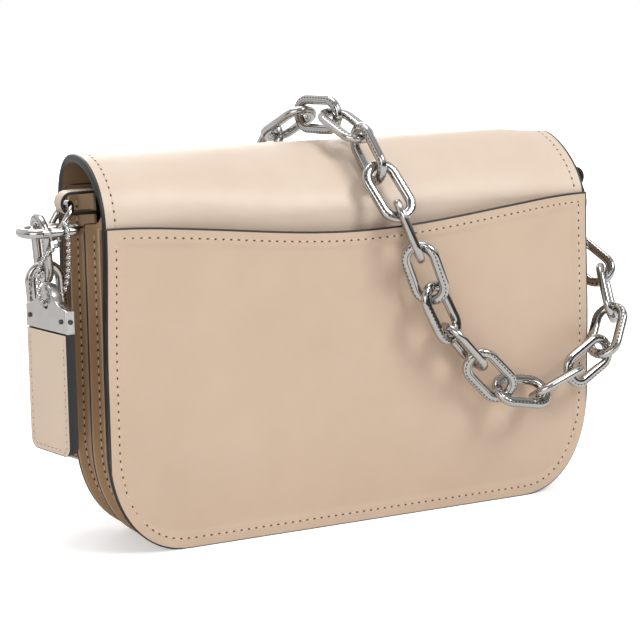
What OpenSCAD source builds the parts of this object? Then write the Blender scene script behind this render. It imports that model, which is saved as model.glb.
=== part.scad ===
// Chain shoulder bag, seen from its back: two compartments, flap, back slip pocket, chain strap and hang tag.
// Millimetres, +Z up, +X to the bag's right-hand hardware, front towards -Y, origin under the divider.

/* [Bag body] */
// Width of the bag
bag_w = 260; // [235:5:290]
// Height at which the straight back turns over into the flap
back_h = 152; // [140:1:165]
// Width of a rounded bottom corner
corner_w = 39; // [25:1:60]
// Height of a rounded bottom corner
corner_h = 52; // [30:1:70]
// Depth of the rear compartment, flanges included
rear_depth = 17.7; // [14:0.1:26]
// Depth of the front compartment, flanges included
front_depth = 20.1; // [14:0.1:30]
// Thickness of the front, back and dividing panels
panel_t = 1.8; // [1.2:0.1:3]
// Thickness of the gusset leather
gusset_t = 1.2; // [0.8:0.1:1.8]
// Seam allowance by which the panels stand out past the gussets
seam_w = 6; // [4:0.5:9]
// Height of the rear gusset's top edge
rear_gusset_h = 160; // [150:1:162]
// Height of the front gusset's top edge
front_gusset_h = 166; // [150:1:170]
// Height of the front panel
front_panel_h = 168; // [155:1:170]
// Height of the divider
divider_h = 152; // [130:1:156]

/* [Flap] */
// Rise of the flap's crest above the straight back
crest_rise = 31; // [26:0.5:45]
// Distance of the crest in front of the divider
crest_y = 15; // [8:0.5:20]
// Distance of the flap's outer face in front of the divider
flap_reach = 38.5; // [36:0.5:48]
// Length that the flap hangs down the front below the straight back's top
flap_drop = 92; // [60:1:110]
// Distance by which the flap's lower edge curves back to the body
flap_tuck = 8; // [2:0.5:10]
// Corner radius of the flap's lower edge
flap_corner = 44; // [20:1:60]
// Thickness of the flap's outer leather
flap_t = 2.2; // [1.6:0.1:2.6]
// Thickness of the flap's lining
flap_lining_t = 1.6; // [0.8:0.1:2]
// Height above the straight back of the line on which the flap hinges
hinge_rise = 13; // [10:0.5:14]
// Gap between the back and the flap at the hinge line
hinge_gap = 0.4; // [0.3:0.1:1]

/* [Back pocket] */
// Thickness of the pocket leather
pocket_t = 1.6; // [1:0.1:2.2]
// Swell of the pocket away from the back
pocket_swell = 4.7; // [4.5:0.1:8]
// Dip of the pocket's top edge in the middle
pocket_dip = 9; // [0:0.5:20]
// Width of the pocket's sewn rim
pocket_rim = 5; // [3:0.5:9]

/* [Chain] */
// Distance between the centres of two links
link_pitch = 21.8; // [21.4:0.1:22.2]
// Outer width of a link
link_w = 19.2; // [18.8:0.1:19.6]
// Width of a link's bar, in the link's plane
link_bar = 5; // [4.6:0.1:5.1]
// Thickness of a link's bar, across its plane
link_t = 3.9; // [3.6:0.1:4.1]
// Bevel on a link's bar
link_bevel = 1.3; // [0.8:0.1:1.5]
// Play between two links
link_play = 1.35; // [1.1:0.05:1.5]
// Height of the chain's centre line off the leather that it lies on
chain_stand = 11.3; // [11.2:0.1:12]

/* [Rings] */
// Outer length of a strap ring
ring_l = 31; // [29:0.5:36]
// Outer width of a strap ring
ring_w = 20.2; // [19.5:0.1:23]
// Diameter of a strap ring's bar
ring_bar = 4.4; // [4:0.1:4.6]
// Outer corner radius of a strap ring
ring_corner = 9; // [8:0.1:9.6]
// Height of the left ring
ring_h = 151; // [148:0.5:153]
// Distance of the left ring's centre behind the divider
ring_y = 3.5; // [3:0.1:4.5]
// Distance of the left ring's centre from the panels' edge
ring_out = 17.6; // [17:0.1:20]
// Length of a gate
gate_l = 8; // [7:0.1:8.6]
// Diameter of a gate pin
gate_pin_d = 1.2; // [1:0.1:1.5]
// Running clearance on the gate pin's radius
pin_clear = 0.05; // [0.03:0.01:0.1]
// Clearance around moving metal parts
free_gap = 0.4; // [0.3:0.05:0.6]

/* [Connectors and leather loops] */
// Outer length of a connector link
connector_l = 21; // [20.5:0.1:22]
// Outer width of a connector link
connector_w = 18; // [17.4:0.1:19]
// Diameter of a connector link's bar
connector_bar = 3.2; // [2.8:0.1:3.4]
// Width of a leather loop's strap
loop_w = 9; // [8:0.1:9.4]
// Thickness of a leather loop's strap
loop_t = 1.3; // [1:0.1:1.4]
// Outer radius of a leather loop
loop_r = 5.4; // [5.2:0.1:6]
// Length of a leather loop, from the gusset to its outer end
loop_out = 17.5; // [17:0.1:18]

/* [Hang tag] */
// Width of the tag
tag_w = 33; // [26:0.5:34]
// Height of the tag's leather
tag_h = 56; // [45:1:60]
// Thickness of the tag
tag_t = 5; // [4:0.1:5.4]
// Height of the metal cap at its edges
cap_h = 11; // [9:0.5:13]
// Rise of the cap's middle above its edges
cap_rise = 10; // [8:0.5:12]
// Diameter of the cap's hanging hole
cap_hole_d = 3.6; // [3.2:0.1:4]
// Diameter of the cap's rivets
rivet_d = 2.2; // [1.5:0.1:2.6]
// Turn of the tag towards the back, in degrees
tag_turn = 13; // [10:1:16]
// Diameter of a ball of the ball chain
ball_d = 2.4; // [2:0.1:2.5]

/* [Closure and inner pocket] */
// Diameter of the magnetic closure
magnet_d = 18; // [12:0.5:22]
// Thickness of each half of the closure
magnet_t = 2.2; // [1.6:0.1:3]
// Height of the closure's centre
magnet_h = 92; // [85:1:120]
// Length of the inner pocket's zip
zip_l = 170; // [120:5:190]
// Width of the zip's tape
zip_tape_w = 24; // [18:1:30]
// Thickness of the zip's tape
zip_tape_t = 0.7; // [0.5:0.1:1]
// Height of the zip's centre line
zip_h = 128; // [110:1:135]
// Width of the closed zip teeth
teeth_w = 4; // [3:0.5:6]
// Thickness of the zip teeth
teeth_t = 1.2; // [0.8:0.1:1.6]
// Length of the zip slider
slider_l = 9; // [7:0.5:12]

/* [Hidden] */
$fn = 48;
overrun = 1;
leather = [0.83, 0.73, 0.63];
leather_dark = [0.62, 0.48, 0.36];
steel = [0.70, 0.69, 0.68];
down = [0, 0, -1];
front = [0, -1, 0];
sideways = [1, 0, 0];

function unit(v) = v / norm(v);
function ease(t) = let (u = min(1, max(0, t))) u * u * (3 - 2 * u);

// Panel planes, from the divider to the back and to the front
divider_y = panel_t / 2;
back_in_y = divider_y + rear_depth;
back_y = back_in_y + panel_t;
pocket_y = back_y + pocket_t;
front_in_y = -divider_y - front_depth;
front_y = front_in_y - panel_t;

// Outline of a panel, drawn in by inset, up to the height top
corner_power = 2.2;
corner_steps = 12;
function panel_points(top, inset = 0) =
    let (half = bag_w / 2 - inset, a = corner_w - inset, b = corner_h - inset,
         arc = [for (k = [0:corner_steps]) let (t = 90 * k / corner_steps)
             [half - a + a * pow(sin(t), 2 / corner_power), inset + b - b * pow(cos(t), 2 / corner_power)]])
    concat(arc, [[half, top], [-half, top]], [for (k = [corner_steps:-1:0]) [-arc[k].x, arc[k].y]]);
function corner_z(x) =
    let (u = min(1, max(0, abs(x) - bag_w / 2 + corner_w) / corner_w))
    corner_h * (1 - pow(1 - pow(u, corner_power), 1 / corner_power));

// An outline in X and Z, given a depth along Y from the place y
module upright(y, depth) {
    translate([0, y + depth, 0]) rotate([90, 0, 0]) linear_extrude(depth) children();
}

// A side profile in Y and Z, drawn across the bag's whole width
module across() {
    translate([-bag_w / 2, 0, 0]) rotate([90, 0, 90]) linear_extrude(bag_w) children();
}

// Side profile of the back's top and the flap: two half ovals that meet at the crest, then the hanging front
back_power = 1.5;
front_power = 2.6;
oval_steps = 18;
drop_steps = 10;
function oval(t, inset = 0) =
    let (rear = t < 90, n = rear ? back_power : front_power,
         w = rear ? back_y + crest_y - inset : flap_reach - crest_y - inset)
    [-crest_y + sign(cos(t)) * w * pow(abs(cos(t)), 2 / n), back_h + (crest_rise - inset) * pow(sin(t), 2 / n)];
function drop(share, inset = 0) =
    [-flap_reach + inset + flap_tuck * share * share, back_h - flap_drop * share];
function over(from, to, inset) =
    [for (k = [0:oval_steps]) oval(from + (to - from) * k / oval_steps, inset)];
function flap_line(from, inset) =
    concat(over(from, 180, inset), [for (k = [1:drop_steps]) drop(k / drop_steps, inset)]);
function band(a, b) = concat(a, [for (k = [len(b) - 1:-1:0]) b[k]]);
hinge_t = asin(pow(hinge_rise / crest_rise, back_power / 2));
flap_start_t = hinge_t + hinge_gap / crest_rise * 180 / PI;

module flap_outline() {
    low = back_h - flap_drop;
    half = bag_w / 2;
    translate([-half, low + flap_corner]) square([bag_w, flap_drop + crest_rise]);
    translate([-half + flap_corner, low]) square([bag_w - 2 * flap_corner, flap_corner + overrun]);
    for (side = [-1, 1]) translate([side * (half - flap_corner), low + flap_corner]) circle(flap_corner);
}

module flap_layer(inset, layer_t) {
    intersection() {
        across() polygon(band(flap_line(flap_start_t, inset), flap_line(flap_start_t, inset + layer_t)));
        upright(-flap_reach - overrun, flap_reach + back_y + 2 * overrun) flap_outline();
    }
}

module back_panel() {
    color(leather) intersection() {
        across() polygon(band(concat([[back_y, 0]], over(0, hinge_t, 0)),
                              concat([[back_in_y, 0]], over(0, hinge_t, panel_t))));
        upright(-overrun, back_y + 2 * overrun) polygon(panel_points(back_h + crest_rise));
    }
}

// The pocket is a sheet that lies on the back along its sewn rim and swells towards its open top
pocket_ramp_share = 0.3;
pocket_cols = 28;
pocket_rows = 12;
function pocket_top(x) = back_h - pocket_dip * (1 + cos(360 * x / bag_w)) / 2;
function pocket_gap(x, z) =
    let (low = corner_z(x), ramp = pocket_ramp_share * back_h)
    pocket_swell * ease((bag_w / 2 - pocket_rim - abs(x)) / ramp) * ease((z - low - pocket_rim) / ramp);
function pocket_point(i, j, t) =
    let (x = -bag_w / 2 * cos(180 * i / pocket_cols), low = corner_z(x),
         z = low + (pocket_top(x) - low) * j / pocket_rows)
    [x, back_y + pocket_gap(x, z) + t, z];

module back_pocket() {
    row = pocket_cols + 1;
    sheet = row * (pocket_rows + 1);
    points = [for (t = [0, pocket_t]) for (j = [0:pocket_rows]) for (i = [0:pocket_cols]) pocket_point(i, j, t)];
    walls = [for (j = [0:pocket_rows - 1]) for (i = [0:pocket_cols - 1]) let (a = j * row + i)
        each [[a, a + row, a + row + 1], [a, a + row + 1, a + 1],
              [a + sheet, a + row + 1 + sheet, a + row + sheet], [a + sheet, a + 1 + sheet, a + row + 1 + sheet]]];
    ends = [for (i = [0:pocket_cols - 1]) let (a = i, b = pocket_rows * row + i)
        each [[a, a + 1, a + 1 + sheet], [a, a + 1 + sheet, a + sheet],
              [b, b + sheet, b + 1 + sheet], [b, b + 1 + sheet, b + 1]]];
    sides = [for (j = [0:pocket_rows - 1]) let (a = j * row, b = a + pocket_cols)
        each [[a, a + sheet, a + row + sheet], [a, a + row + sheet, a + row],
              [b, b + row, b + row + sheet], [b, b + row + sheet, b + sheet]]];
    color(leather) polyhedron(points, [for (f = concat(walls, ends, sides)) [f[2], f[1], f[0]]]);
}

// A gusset is a strip between two panels, set in by the seam, with a flange turned out along each panel
module gusset_strip(inner, outer, top) {
    difference() {
        polygon(panel_points(top, outer));
        polygon(panel_points(top + overrun, inner));
    }
}

module rear_gusset() {
    web_in = seam_w + gusset_t;
    color(leather_dark) intersection() {
        union() {
            upright(divider_y, rear_depth) gusset_strip(web_in, seam_w, rear_gusset_h);
            upright(divider_y, gusset_t) gusset_strip(web_in, 0, divider_h);
            upright(back_in_y - gusset_t, gusset_t) gusset_strip(web_in, 0, back_h);
        }
        across() polygon(concat([[0, 0], [back_in_y, 0]], over(0, 90, panel_t), [[0, back_h + crest_rise / 2]]));
    }
}

module front_gusset() {
    web_in = seam_w + gusset_t;
    color(leather_dark) {
        upright(front_in_y, front_depth) gusset_strip(web_in, seam_w, front_gusset_h);
        upright(-divider_y - gusset_t, gusset_t) gusset_strip(web_in, 0, divider_h);
        upright(front_in_y, gusset_t) gusset_strip(web_in, 0, front_gusset_h);
    }
}

module divider() {
    color(leather_dark) upright(-divider_y, panel_t) polygon(panel_points(divider_h));
}

module front_panel() {
    color(leather) upright(front_y, panel_t) polygon(panel_points(front_panel_h));
}

module flap_shell() {
    color(leather) flap_layer(0, flap_t);
}

module flap_lining() {
    color(leather_dark) flap_layer(flap_t, flap_lining_t);
}

// The closure's upper half lies on the sloping lining, and the lower half stands out from the front to meet it
magnet_share = (back_h - magnet_h) / flap_drop;
magnet_slope = atan(2 * flap_tuck * magnet_share / flap_drop);
lining_y = drop(magnet_share, flap_t + flap_lining_t).x;

module magnet_upper() {
    color(steel) translate([0, lining_y + free_gap / 2, magnet_h]) rotate([-90 + magnet_slope, 0, 0])
        cylinder(d = magnet_d, h = magnet_t);
}

module magnet_lower() {
    tilt_room = magnet_d / 2 * sin(magnet_slope);
    lift = front_y - lining_y - magnet_t - free_gap - tilt_room;
    color(steel) translate([0, front_y, magnet_h]) rotate([90, 0, 0]) cylinder(d = magnet_d, h = lift);
}

// The inner pocket's zip lies on the divider's rear face
teeth_y = divider_y + zip_tape_t;
slider_y = teeth_y + teeth_t + free_gap;
slider_x = -zip_l / 2 + 2 * slider_l;
slider_plate_share = 0.2;

module zip_tape() {
    color(leather_dark) upright(divider_y, zip_tape_t)
        translate([-zip_l / 2 - slider_l, zip_h - zip_tape_w / 2]) square([zip_l + 2 * slider_l, zip_tape_w]);
}

module zip_teeth() {
    color(steel) upright(teeth_y, teeth_t) translate([-zip_l / 2, zip_h - teeth_w / 2]) square([zip_l, teeth_w]);
}

// The slider's wings reach round the teeth and run just clear of the tape
module zip_slider() {
    plate = slider_l * slider_plate_share;
    side = teeth_w + 2 * free_gap;
    color(steel) {
        upright(slider_y, plate) translate([slider_x - slider_l / 2, zip_h - side / 2 - teeth_t])
            square([slider_l, side + 2 * teeth_t]);
        for (sgn = [-1, 1]) upright(teeth_y + free_gap, slider_y - teeth_y)
            translate([slider_x - slider_l / 2, zip_h + sgn * (side + teeth_t) / 2 - teeth_t / 2])
                square([slider_l, teeth_t]);
    }
}

module zip_pull() {
    pull_w = slider_l / 2;
    pull_l = 2.5 * slider_l;
    y = slider_y + slider_l * slider_plate_share;
    color(steel) difference() {
        upright(y, teeth_t) union() {
            translate([slider_x - pull_w / 2, zip_h - pull_l]) square([pull_w, pull_l]);
            translate([slider_x, zip_h]) circle(d = pull_w);
            translate([slider_x, zip_h - pull_l]) circle(d = pull_w);
        }
        upright(y - overrun, teeth_t + 2 * overrun) translate([slider_x, zip_h - pull_l]) circle(d = pull_w / 2);
    }
}

// Left ring: level, its far bar carries the chain, the connector hangs on it from the leather loop
web_x = bag_w / 2 - seam_w;
ring_x = bag_w / 2 + ring_out;
ring_at = [ring_x, ring_y, ring_h];
ring_r = ring_bar / 2;
far_bar_y = ring_y - ring_w / 2 + ring_r;
loop_y = far_bar_y + ring_r - free_gap * 2;
loop_x = web_x + loop_out - loop_r;
connector_r = connector_bar / 2;
connector_foot = [ring_x - gate_l / 4, loop_y, ring_h - ring_r - connector_r - free_gap];
connector_lean = asin((connector_foot.x - loop_x) / (connector_l - connector_bar));
connector_up = [-sin(connector_lean), 0, cos(connector_lean)];
connector_top = connector_foot + connector_up * (connector_l - connector_bar);
loop_z = connector_top.z + free_gap;

// A round bar bent to a rounded rectangle, long along X in the plane of X and Y
module bent_bar(l, w, d, corner) {
    r = corner - d / 2;
    x = l / 2 - corner;
    y = w / 2 - corner;
    for (a = [0:90:270]) {
        sx = a == 0 || a == 270 ? 1 : -1;
        sy = a < 180 ? 1 : -1;
        translate([sx * x, sy * y, 0]) rotate([0, 0, a]) rotate_extrude(angle = 90) translate([r, 0]) circle(d = d);
    }
    for (s = [-1, 1]) {
        translate([-x, s * (y + r), 0]) rotate([0, 90, 0]) cylinder(d = d, h = 2 * x);
        translate([s * (x + r), y, 0]) rotate([90, 0, 0]) cylinder(d = d, h = 2 * y);
    }
}

// The gate closes a gap in the ring's near bar and turns on a pin at its outer end
gate_end_x = ring_l / 2 - ring_corner;
hinge_x = gate_end_x - gate_pin_d;
gate_y = ring_w / 2 - ring_r;
tongue_t = ring_bar / 3;
tongue_r = gate_pin_d;
gate_from_x = hinge_x - gate_l;
gate_to_x = hinge_x - 2.2 * tongue_r;

module ring_frame() {
    difference() {
        bent_bar(ring_l, ring_w, ring_bar, ring_corner);
        translate([gate_from_x - free_gap, gate_y - ring_bar, -ring_bar])
            cube([hinge_x - tongue_r - gate_from_x + free_gap, 2 * ring_bar, 2 * ring_bar]);
        translate([hinge_x - tongue_r - overrun, gate_y - ring_bar, -tongue_t / 2 - pin_clear])
            cube([2 * tongue_r + free_gap + overrun, 2 * ring_bar, tongue_t + 2 * pin_clear]);
        translate([hinge_x, gate_y, -ring_bar]) cylinder(d = gate_pin_d, h = 2 * ring_bar);
    }
}

module gate() {
    difference() {
        union() {
            translate([gate_from_x, gate_y, 0]) rotate([0, 90, 0]) cylinder(d = ring_bar, h = gate_to_x - gate_from_x);
            translate([gate_to_x - overrun, gate_y - tongue_r, -tongue_t / 2])
                cube([hinge_x - gate_to_x + overrun, 2 * tongue_r, tongue_t]);
            translate([hinge_x, gate_y, -tongue_t / 2]) cylinder(r = tongue_r, h = tongue_t);
        }
        translate([hinge_x, gate_y, -ring_bar]) cylinder(r = gate_pin_d / 2 + pin_clear, h = 2 * ring_bar);
    }
}

module gate_pin() {
    translate([hinge_x, gate_y, -ring_r]) cylinder(d = gate_pin_d, h = ring_bar);
}

module at_left() {
    translate(ring_at) children();
}

// Right ring: its loop hangs lower, and it hangs on end with its edge to the back
right_turn = 35;
right_twist = 0;
right_lean = 17;
right_drop = 4.8;
right_top = [-connector_top.x, loop_y, connector_top.z - right_drop];
right_up = [sin(right_lean) * cos(right_twist), sin(right_lean) * sin(right_twist), cos(right_lean)];
right_foot = right_top - right_up * (connector_l - connector_bar);
right_ring_at = right_foot + right_up * (connector_r + ring_r + 2 * free_gap) + down * (ring_l / 2 - ring_r);

module at_right() {
    translate(right_ring_at) rotate([0, 0, right_turn]) rotate([90, 90, 0]) children();
}

module connector(top, lean, twist) {
    color(steel) translate(top) rotate([0, 0, twist]) rotate([0, lean, 0])
        translate([0, 0, connector_r - connector_l / 2]) rotate([0, 90, 0])
            bent_bar(connector_l, connector_w, connector_bar, connector_w / 2 - 2 * pin_clear);
}

// A leather loop: a strap folded round the connector and back to its plate on the gussets
module loop(side, z) {
    inner = loop_r - loop_t;
    color(leather) translate([0, loop_y + loop_w / 2, z]) rotate([90, 0, 0]) linear_extrude(loop_w) difference() {
        union() {
            translate([side * loop_x, 0]) circle(loop_r);
            translate([side < 0 ? -loop_x : web_x, -loop_r]) square([loop_x - web_x, 2 * loop_r]);
        }
        translate([side * loop_x, 0]) circle(inner);
        translate([side < 0 ? -loop_x : web_x + loop_t, -inner]) square([loop_x - web_x - loop_t, 2 * inner]);
    }
}

// A chain link: long along Z, wide along X, its bar of eight sides
link_end_r = link_w / 2 - link_bar / 2;
link_straight = link_pitch + link_play + link_bar - 2 * link_end_r;
link_in = (link_pitch + link_play) / 2;

module bar_section() {
    w = link_bar / 2;
    t = link_t / 2;
    b = link_bevel;
    polygon([[w, t - b], [w - b, t], [b - w, t], [-w, t - b], [-w, b - t], [b - w, -t], [w - b, -t], [w, b - t]]);
}

module link() {
    for (s = [-1, 1]) {
        translate([s * link_end_r, 0, -link_straight / 2]) linear_extrude(link_straight) bar_section();
        translate([0, 0, s * link_straight / 2]) rotate([s * 90, 0, 0])
            rotate_extrude(angle = 180) translate([link_end_r, 0]) bar_section();
    }
}

// Turns a link's length to the direction d and its width to the direction p
function aim(d, p) =
    let (b = acos(d.z), a = atan2(d.y, d.x),
         e1 = [cos(b) * cos(a), cos(b) * sin(a), -sin(b)], e2 = [-sin(a), cos(a), 0])
    [b, a, atan2(p * e2, p * e1)];

module place_link(from, to, wide) {
    turn = aim(unit(to - from), wide);
    color(steel) translate((from + to) / 2) rotate([0, turn[0], turn[1]]) rotate([0, 0, turn[2]]) link();
}

// Width direction of a link that runs along d over a surface of normal n, rolled out of it by the angle roll
function width_of(d, n, roll) =
    let (flat = unit(cross(d, n)), off = cross(flat, d)) flat * cos(roll) + off * sin(roll);

// Walks along a curve in steps of one link's pitch: the curve is a function of s, and k sets its sag
step_max = 0.35;
function next_s(path, k, here, low, high, n = 18) =
    n == 0 ? (low + high) / 2 :
    let (mid = (low + high) / 2)
    norm(path(mid, k) - here) < link_pitch ? next_s(path, k, here, mid, high, n - 1)
                                           : next_s(path, k, here, low, mid, n - 1);
function walk(path, k, s, n) =
    n == 0 ? [s] : concat([s], walk(path, k, next_s(path, k, path(s, k), s, s + step_max), n - 1));
function sag(path, n, last, low, high, tries = 14) =
    let (mid = (low + high) / 2)
    tries == 0 ? mid :
    walk(path, mid, 0, n)[n] > last ? sag(path, n, last, mid, high, tries - 1)
                                    : sag(path, n, last, low, mid, tries - 1);
function bezier(a, b, c, d, s) =
    let (r = 1 - s) a * r * r * r + 3 * b * r * r * s + 3 * c * r * s * s + d * s * s * s;

// The chain leaves the flap over the hinge line, where its back stretch starts
lift = -chain_stand;
chain_start_x = -9;
chain_front_x = 20;
chain_bend = 1.5;
chain_bulge = 7;
chain_bump = 2.2;
function chain_over(t) =
    oval(t, lift - (t > 90 ? chain_bulge * sin(t - 90) : chain_bump * sin(180 * (t - hinge_t) / (90 - hinge_t))));
meet = concat([chain_start_x], oval(hinge_t, lift));

// Back stretch: from the hinge line down over the pocket and round the edge up to the right ring
back_links = 12;
sag_shares = [[0, 0, 0], [1 / 6, -0.02, -0.38], [1 / 3, -0.05, -0.53], [0.5, -0.01, -0.58], [2 / 3, 0.085, -0.52],
              [5 / 6, -0.055, -0.31], [11 / 12, -0.06, -0.07], [1, 0, 0]];
pocket_stand = pocket_y + pocket_swell + chain_stand;
out_from = 0.08;
out_to = 0.64;
out_share = 0.36;
right_bar_at = right_ring_at + down * (ring_l / 2 - ring_r);
back_end = right_bar_at + unit([0.3, -0.75, 0.6]) * (ring_r + link_pitch / 2 - link_in + 1.25 * free_gap);
function sag_point(i, k) =
    let (n = len(sag_shares) - 1, j = min(n, max(0, i)), line = meet + (back_end - meet) * sag_shares[j].x)
    line + k * [sag_shares[j].y * bag_w, 0, sag_shares[j].z * back_h];
function spline(a, b, c, d, t) =
    0.5 * (2 * b + (c - a) * t + (2 * a - 5 * b + 4 * c - d) * t * t + (3 * b - a - 3 * c + d) * t * t * t);
back_path = function(s, k) let (
        n = len(sag_shares) - 1, i = floor(s * n),
        flat = spline(sag_point(i - 1, k), sag_point(i, k), sag_point(i + 1, k), sag_point(i + 2, k), s * n - i),
        out = s < out_from ? meet.y + (pocket_stand - meet.y) * sin(90 * s / out_from)
            : s < out_to ? pocket_stand
            : pocket_stand + (back_end.y - pocket_stand) * ease((s - out_to) / out_share))
    [flat.x, out, flat.z];
back_k = sag(back_path, back_links, 1, 0.3, 2);
back_nodes = [for (s = walk(back_path, back_k, 0, back_links)) back_path(s, back_k)];
back_down = unit(back_nodes[1] - back_nodes[0]);
hinge_at = meet - back_down * (link_in - link_pitch / 2 + link_bar / 2);

// Side stretch: three links on the left ring that swing to meet the flap's chain at both limits of the flap
flap_turn = 62;
side_links = 3;
side_at = [ring_x + link_t / 2 + free_gap, far_bar_y, ring_h];
side_first = link_in - ring_r - free_gap / 2;
side_in = 6;
side_reach = sqrt(pow(side_first + (side_links - 0.5) * link_pitch, 2) - pow(side_in, 2));
hinge_gap_v = [hinge_at.y - far_bar_y, hinge_at.z - ring_h];
hinge_angle = atan2(hinge_gap_v.y, hinge_gap_v.x);
open_angle = hinge_angle + 180 + flap_turn / 2;
open_dir = [cos(open_angle), sin(open_angle)];
open_along = hinge_gap_v * open_dir;
open_reach = -open_along + sqrt(pow(open_along, 2) - pow(norm(hinge_gap_v), 2) + pow(side_reach, 2));
open_at = [side_at.x - side_in, hinge_at.y + open_reach * open_dir.x, hinge_at.z + open_reach * open_dir.y];
side_dir = unit(open_at - side_at);
side_turn = 2 * (180 - hinge_angle + atan2(side_dir.z, side_dir.y));

// Front stretch: over the crest, down the flap's front and up to the side stretch
front_links = 16;
front_top = concat([chain_front_x], chain_over(180));
front_path = function(s, k)
    s <= 1 ? let (t = hinge_t + (180 - hinge_t) * s)
                 concat([chain_start_x + (chain_front_x - chain_start_x) * pow(s, chain_bend)], chain_over(t))
           : bezier(front_top, front_top + [bag_w / 30, 0, -k * back_h * 0.5],
                    open_at + ([0, open_dir.x, open_dir.y] * 0.5 + [0.03, 0, 0]) * k * back_h, open_at, s - 1);
front_k = sag(front_path, front_links, 2, 0.05, 2.5);
front_s = walk(front_path, front_k, 0, front_links);
front_nodes = concat([for (k = [0:front_links - 1]) front_path(front_s[k], front_k)], [open_at]);
side_nodes = [for (k = [0:side_links]) open_at - side_dir * link_pitch * (side_links - k)];

// Outward normal of the flap under a place on the front stretch
function flap_normal(s) =
    s >= 1 ? front :
    let (t = hinge_t + (180 - hinge_t) * s, a = chain_over(t - 1), b = chain_over(min(180, t + 1)), v = unit(b - a))
    [0, v.y, -v.x];

module front_link(i) {
    a = front_nodes[i - 1];
    b = front_nodes[i];
    s = (front_s[i - 1] + front_s[i]) / 2;
    place_link(a, b, width_of(unit(b - a), flap_normal(s), 90 * i));
}

// Each back link is rolled on from the last, so that the first lies flat and the last one holds the right ring
half_turns = 4;
back_dir = unit(back_nodes[back_links] - back_nodes[back_links - 1]);
hold = [-sin(right_turn), cos(right_turn), 0];
last_flat = unit(cross(back_dir, -front));
last_roll = atan2(hold * cross(last_flat, back_dir), hold * last_flat);
module back_link(i) {
    a = back_nodes[i - 1];
    b = back_nodes[i];
    roll = (180 * half_turns + last_roll) * (i - 1) / (back_links - 1);
    place_link(a, b, width_of(unit(b - a), -front, roll));
}

module side_link(i) {
    a = side_nodes[i - 1];
    b = side_nodes[i];
    place_link(a, b, width_of(unit(b - a), front, 90 * i));
}

// Hang tag: leather held in a metal cap, outside the left ring, turned a little to the back
tag_at = [ring_x + 5, ring_y + 9.9, ring_h - 43];
cap_t = 0.9;
cap_in_t = tag_t - 2 * cap_t;
tag_corner = 5;
boss_r = cap_hole_d / 2 + 2.6;
hole_z = cap_h + 0.6;
boss_z = cap_h + cap_rise - boss_r;
face = tag_t / 2;

module at_tag() {
    translate(tag_at) rotate([0, 0, tag_turn]) children();
}

// An outline across the tag, Y and Z, given a depth along X from the place x
module plate(x, depth) {
    translate([x, 0, 0]) rotate([90, 0, 90]) linear_extrude(depth) children();
}

module tag_shape(w, low, high) {
    r = tag_corner;
    translate([-w / 2, low + r]) square([w, high - low - r]);
    translate([-w / 2 + r, low]) square([w - 2 * r, r + overrun]);
    for (s = [-1, 1]) translate([s * (w / 2 - r), low + r]) circle(r);
}

module tag_leather() {
    body_t = tag_t - 2 * pin_clear;
    slim_t = cap_in_t - 2 * pin_clear;
    color(leather) at_tag() {
        plate(-body_t / 2, body_t) tag_shape(tag_w - cap_t, -tag_h, -pin_clear);
        plate(-slim_t / 2, slim_t) translate([-tag_w / 2 + cap_t + pin_clear, -overrun])
            square([tag_w - 2 * cap_t - 2 * pin_clear, overrun + cap_h - 2 * cap_t]);
    }
}

module cap_shape() {
    half = tag_w / 2;
    polygon([[-half, 0], [half, 0], [half, cap_h * 0.95], [half - cap_t, cap_h], [half * 0.62, cap_h + cap_rise * 0.12],
             [boss_r * 1.25, boss_z - boss_r * 0.5], [boss_r, boss_z], [-boss_r, boss_z],
             [-boss_r * 1.25, boss_z - boss_r * 0.5], [-half * 0.62, cap_h + cap_rise * 0.12],
             [-half + cap_t, cap_h], [-half, cap_h * 0.95]]);
    translate([0, boss_z]) circle(boss_r);
}

module tag_cap() {
    color(steel) at_tag() difference() {
        plate(-face, tag_t) cap_shape();
        plate(-cap_in_t / 2, cap_in_t) translate([-tag_w / 2 + cap_t, -overrun])
            square([tag_w - 2 * cap_t, cap_h - cap_t - pin_clear + overrun]);
        translate([-tag_t, 0, hole_z]) rotate([0, 90, 0]) cylinder(d = cap_hole_d, h = 2 * tag_t);
    }
}

module tag_rivets() {
    z = cap_h / 2;
    head_t = rivet_d / 4;
    color(steel) at_tag() {
        for (s = [-1, 1]) for (x = [-face - head_t, face])
            translate([x, s * (tag_w / 2 - cap_h / 3), z]) rotate([0, 90, 0]) cylinder(d = rivet_d, h = head_t);
        for (s = [-1, 1]) translate([0, s * tag_w / 2, z]) rotate([s < 0 ? 90 : -90, 0, 0])
            cylinder(d = rivet_d, h = head_t);
    }
}

// The ball chain runs in a closed curve through the cap's hole and over the left ring's near bar
near_bar = [ring_x - gate_l / 2, ring_y + gate_y, ring_h];
over_r = ring_r + ball_d / 2 + 1.5 * free_gap;
hole_at = tag_at + [0, 0, hole_z];
through = [cos(tag_turn), sin(tag_turn), 0];
strand = near_bar.z - hole_at.z;
ball_guides = [
    hole_at, hole_at + through * (face + ball_d) + [0, 0, ball_d],
    hole_at + [ball_d * 2, 0, strand * 0.26], hole_at + [ball_d * 1.8, -ball_d * 0.4, strand * 0.48],
    hole_at + [0, -strand * 0.13, strand * 0.66], near_bar + [ball_d, -over_r, -over_r * 1.5],
    near_bar + [0, -over_r, 0], near_bar + [0, 0, over_r], near_bar + [0, over_r, 0],
    near_bar + [0, over_r, -strand * 0.4], near_bar + [ball_d * 0.4, ball_d, -strand * 0.75],
    hole_at - through * (face + ball_d) + [0, 0, ball_d * 0.8]];
ball_space = ball_d * 1.25;
guide_steps = 14;
ball_line = let (g = ball_guides, n = len(g))
    [for (i = [0:n - 1]) for (k = [0:guide_steps - 1])
        spline(g[(i + n - 1) % n], g[i], g[(i + 1) % n], g[(i + 2) % n], k / guide_steps)];
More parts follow.
